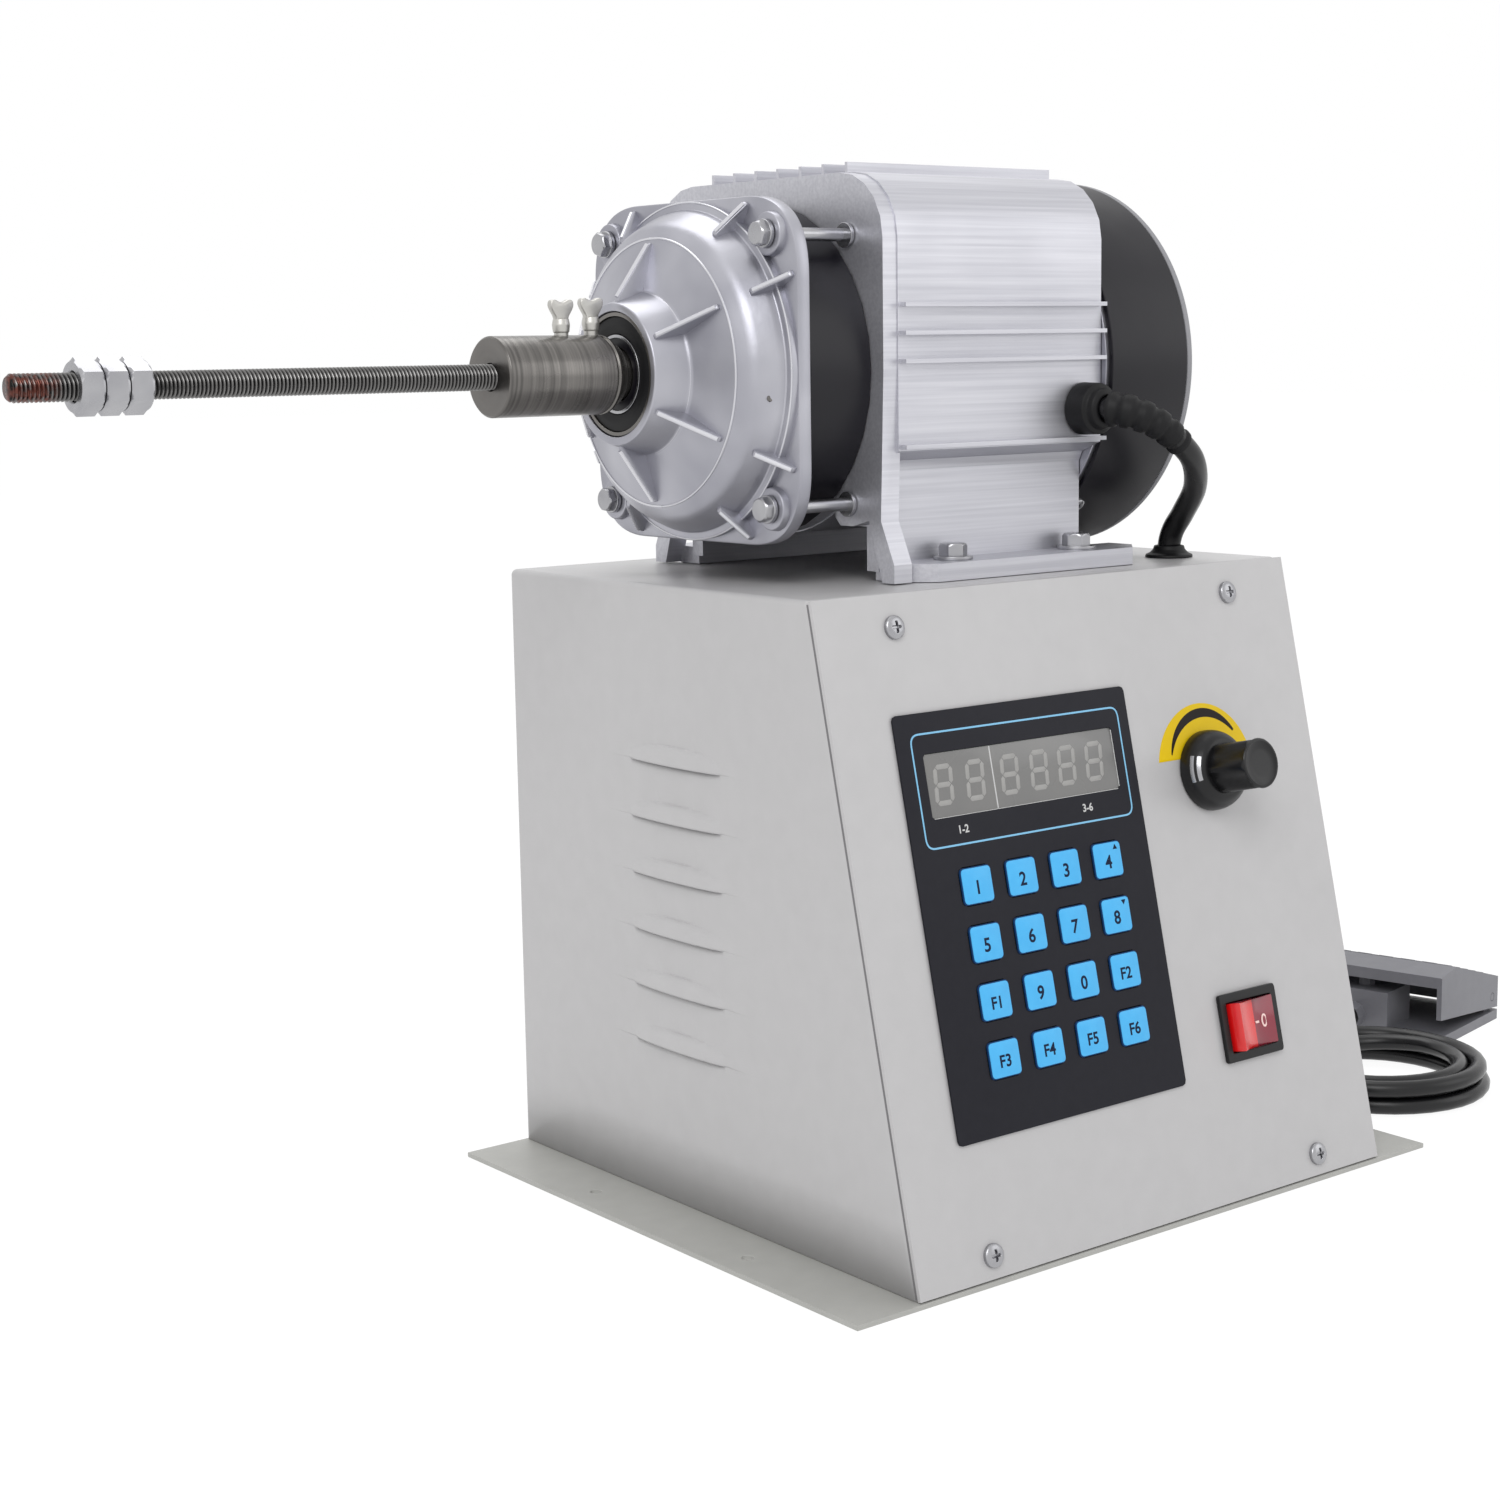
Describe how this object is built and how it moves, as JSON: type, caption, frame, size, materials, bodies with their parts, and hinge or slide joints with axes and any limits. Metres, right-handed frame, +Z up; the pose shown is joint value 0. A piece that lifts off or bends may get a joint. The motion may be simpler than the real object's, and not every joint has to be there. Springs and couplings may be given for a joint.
{
  "type": "wire coil winding machine",
  "caption": "Bench coil winder: slanted control case with keypad, speed knob and switch, a geared motor on top driving a threaded winding rod, and a foot pedal on a lead.",
  "frame": {"origin": "on the floor, under the middle of the base plate", "axes": "+Z up, -Y out of the front panel, the winding spindle points along -X"},
  "size_m": [0.7383, 0.2699, 0.41],
  "materials": {
    "case_paint": "fine textured satin paint, warm light grey",
    "base_paint": "satin paint, slightly darker grey",
    "keypad_film": "printed polyester film, satin",
    "key_blue": "printed film, satin light blue",
    "circuit_board": "solder-masked board",
    "black_plastic": "moulded black plastic, satin",
    "black_enamel": "black enamel on steel, satin",
    "switch_red": "translucent red, glossy",
    "cast_aluminium": "silver paint on die-cast and extruded aluminium, satin",
    "grey_cap": "grey paint, satin",
    "dark_steel": "turned steel, dark",
    "zinc_plate": "bright zinc plating",
    "winding_copper": "laminated core with enamelled copper winding",
    "black_rubber": "black rubber and lead sheath, satin",
    "pedal_plastic": "moulded grey plastic, satin"
  },
  "bodies": {
    "machine": {"base_plate": "base_paint", "case_grommet": "black_rubber", "case_shell": "case_paint", "control_board": "circuit_board", "fan_cowl": "black_enamel", "fan_grille": "grey_cap", "foot_bolt_plate": "zinc_plate", "front_panel": "case_paint", "gearbox_bolt_1": "zinc_plate", "gearbox_bolt_2": "zinc_plate", "gearbox_bolt_3": "zinc_plate", "gearbox_bolt_4": "zinc_plate", "gearbox_cover": "cast_aluminium", "keypad_overlay": "keypad_film", "lead_coil": "black_rubber", "lead_run_case": "black_rubber", "lead_run_pedal": "black_rubber", "motor_gland": "black_rubber", "motor_housing": "cast_aluminium", "motor_lead": "black_rubber", "output_bearing": "black_rubber", "pedal_base": "pedal_plastic", "pedal_lead_gland": "black_plastic", "potentiometer": "dark_steel", "rear_shield": "cast_aluminium", "ring_gear": "black_enamel", "rocker_housing": "black_plastic", "stator": "winding_copper"},
    "rotor": {"rotor_shaft": "dark_steel", "cooling_fan": "black_plastic"},
    "spindle": {"planet_carrier": "dark_steel", "chuck_sleeve": "dark_steel", "threaded_rod": "dark_steel"},
    "planet_1": {"planet_gear_1": "dark_steel"},
    "planet_2": {"planet_gear_2": "dark_steel"},
    "planet_3": {"planet_gear_3": "dark_steel"},
    "nut_inner_body": {"nut_inner": "zinc_plate"},
    "nut_middle_body": {"nut_middle": "zinc_plate"},
    "nut_outer_body": {"nut_outer": "zinc_plate"},
    "wing_screw_front_body": {"wing_screw_front": "zinc_plate"},
    "wing_screw_rear_body": {"wing_screw_rear": "zinc_plate"},
    "speed_knob_body": {"speed_knob": "black_plastic"},
    "rocker_body": {"rocker_paddle": "switch_red"},
    "treadle": {"pedal_treadle": "pedal_plastic"},
    "key_1_body": {"key_1": "key_blue"},
    "key_2_body": {"key_2": "key_blue"},
    "key_3_body": {"key_3": "key_blue"},
    "key_4_body": {"key_4": "key_blue"},
    "key_5_body": {"key_5": "key_blue"},
    "key_6_body": {"key_6": "key_blue"},
    "key_7_body": {"key_7": "key_blue"},
    "key_8_body": {"key_8": "key_blue"},
    "key_9_body": {"key_9": "key_blue"},
    "key_10_body": {"key_10": "key_blue"},
    "key_11_body": {"key_11": "key_blue"},
    "key_12_body": {"key_12": "key_blue"},
    "key_13_body": {"key_13": "key_blue"},
    "key_14_body": {"key_14": "key_blue"},
    "key_15_body": {"key_15": "key_blue"},
    "key_16_body": {"key_16": "key_blue"}
  },
  "joints": [
    {"name": "rotor_spin", "type": "hinge", "parent": "machine", "child": "rotor", "pos_m": [0, 0.029, 0.331], "axis": [1, 0, 0], "continuous": true},
    {"name": "spindle_spin", "type": "hinge", "parent": "machine", "child": "spindle", "pos_m": [0, 0.029, 0.331], "axis": [1, 0, 0], "continuous": true},
    {"name": "planet_1_spin", "type": "hinge", "parent": "spindle", "child": "planet_1", "pos_m": [-0.0885, 0.029, 0.29955], "axis": [1, 0, 0], "continuous": true},
    {"name": "planet_2_spin", "type": "hinge", "parent": "spindle", "child": "planet_2", "pos_m": [-0.0885, 0.05624, 0.34673], "axis": [1, 0, 0], "continuous": true},
    {"name": "planet_3_spin", "type": "hinge", "parent": "spindle", "child": "planet_3", "pos_m": [-0.0885, 0.00176, 0.34673], "axis": [1, 0, 0], "continuous": true},
    {"name": "nut_inner_travel", "type": "slide", "parent": "spindle", "child": "nut_inner_body", "axis": [1, 0, 0], "range_m": [0, 0.13]},
    {"name": "nut_middle_travel", "type": "slide", "parent": "nut_inner_body", "child": "nut_middle_body", "axis": [-1, 0, 0], "range_m": [0, 0.01]},
    {"name": "nut_outer_travel", "type": "slide", "parent": "nut_middle_body", "child": "nut_outer_body", "axis": [-1, 0, 0], "range_m": [0, 0.01]},
    {"name": "wing_screw_front_turn", "type": "hinge", "parent": "spindle", "child": "wing_screw_front_body", "pos_m": [-0.1655, 0.029, 0.331], "axis": [0, 0, 1], "range_deg": [0, 360]},
    {"name": "wing_screw_rear_turn", "type": "hinge", "parent": "spindle", "child": "wing_screw_rear_body", "pos_m": [-0.152, 0.029, 0.331], "axis": [0, 0, 1], "range_deg": [0, 360]},
    {"name": "speed_knob_turn", "type": "hinge", "parent": "machine", "child": "speed_knob_body", "pos_m": [0.0628, -0.08937, 0.16866], "axis": [0, -0.9741, 0.226], "range_deg": [0, 300]},
    {"name": "rocker_tilt", "type": "hinge", "parent": "machine", "child": "rocker_body", "pos_m": [0.0628, -0.10973, 0.06765], "axis": [0, -0.226, -0.9741], "range_deg": [0, 18]},
    {"name": "key_1_press", "type": "slide", "parent": "machine", "child": "key_1_body", "axis": [0, 0.9741, -0.226], "range_m": [0, 0.0004], "stiffness_N_per_m": 1200},
    {"name": "key_2_press", "type": "slide", "parent": "machine", "child": "key_2_body", "axis": [0, 0.9741, -0.226], "range_m": [0, 0.0004], "stiffness_N_per_m": 1200},
    {"name": "key_3_press", "type": "slide", "parent": "machine", "child": "key_3_body", "axis": [0, 0.9741, -0.226], "range_m": [0, 0.0004], "stiffness_N_per_m": 1200},
    {"name": "key_4_press", "type": "slide", "parent": "machine", "child": "key_4_body", "axis": [0, 0.9741, -0.226], "range_m": [0, 0.0004], "stiffness_N_per_m": 1200},
    {"name": "key_5_press", "type": "slide", "parent": "machine", "child": "key_5_body", "axis": [0, 0.9741, -0.226], "range_m": [0, 0.0004], "stiffness_N_per_m": 1200},
    {"name": "key_6_press", "type": "slide", "parent": "machine", "child": "key_6_body", "axis": [0, 0.9741, -0.226], "range_m": [0, 0.0004], "stiffness_N_per_m": 1200},
    {"name": "key_7_press", "type": "slide", "parent": "machine", "child": "key_7_body", "axis": [0, 0.9741, -0.226], "range_m": [0, 0.0004], "stiffness_N_per_m": 1200},
    {"name": "key_8_press", "type": "slide", "parent": "machine", "child": "key_8_body", "axis": [0, 0.9741, -0.226], "range_m": [0, 0.0004], "stiffness_N_per_m": 1200},
    {"name": "key_9_press", "type": "slide", "parent": "machine", "child": "key_9_body", "axis": [0, 0.9741, -0.226], "range_m": [0, 0.0004], "stiffness_N_per_m": 1200},
    {"name": "key_10_press", "type": "slide", "parent": "machine", "child": "key_10_body", "axis": [0, 0.9741, -0.226], "range_m": [0, 0.0004], "stiffness_N_per_m": 1200},
    {"name": "key_11_press", "type": "slide", "parent": "machine", "child": "key_11_body", "axis": [0, 0.9741, -0.226], "range_m": [0, 0.0004], "stiffness_N_per_m": 1200},
    {"name": "key_12_press", "type": "slide", "parent": "machine", "child": "key_12_body", "axis": [0, 0.9741, -0.226], "range_m": [0, 0.0004], "stiffness_N_per_m": 1200},
    {"name": "key_13_press", "type": "slide", "parent": "machine", "child": "key_13_body", "axis": [0, 0.9741, -0.226], "range_m": [0, 0.0004], "stiffness_N_per_m": 1200},
    {"name": "key_14_press", "type": "slide", "parent": "machine", "child": "key_14_body", "axis": [0, 0.9741, -0.226], "range_m": [0, 0.0004], "stiffness_N_per_m": 1200},
    {"name": "key_15_press", "type": "slide", "parent": "machine", "child": "key_15_body", "axis": [0, 0.9741, -0.226], "range_m": [0, 0.0004], "stiffness_N_per_m": 1200},
    {"name": "key_16_press", "type": "slide", "parent": "machine", "child": "key_16_body", "axis": [0, 0.9741, -0.226], "range_m": [0, 0.0004], "stiffness_N_per_m": 1200},
    {"name": "treadle_press", "type": "hinge", "parent": "machine", "child": "treadle", "pos_m": [0.33868, 0.02455, 0.0125], "axis": [0.225, -0.9744, 0], "range_deg": [0, 5], "stiffness_Nm_per_rad": 6, "springref_deg": -5.16}
  ],
  "couplings": [
    {"joint": "spindle_spin", "follows": "rotor_spin", "ratio": 0.16667},
    {"joint": "planet_1_spin", "follows": "rotor_spin", "ratio": -0.41667},
    {"joint": "planet_2_spin", "follows": "rotor_spin", "ratio": -0.41667},
    {"joint": "planet_3_spin", "follows": "rotor_spin", "ratio": -0.41667}
  ]
}
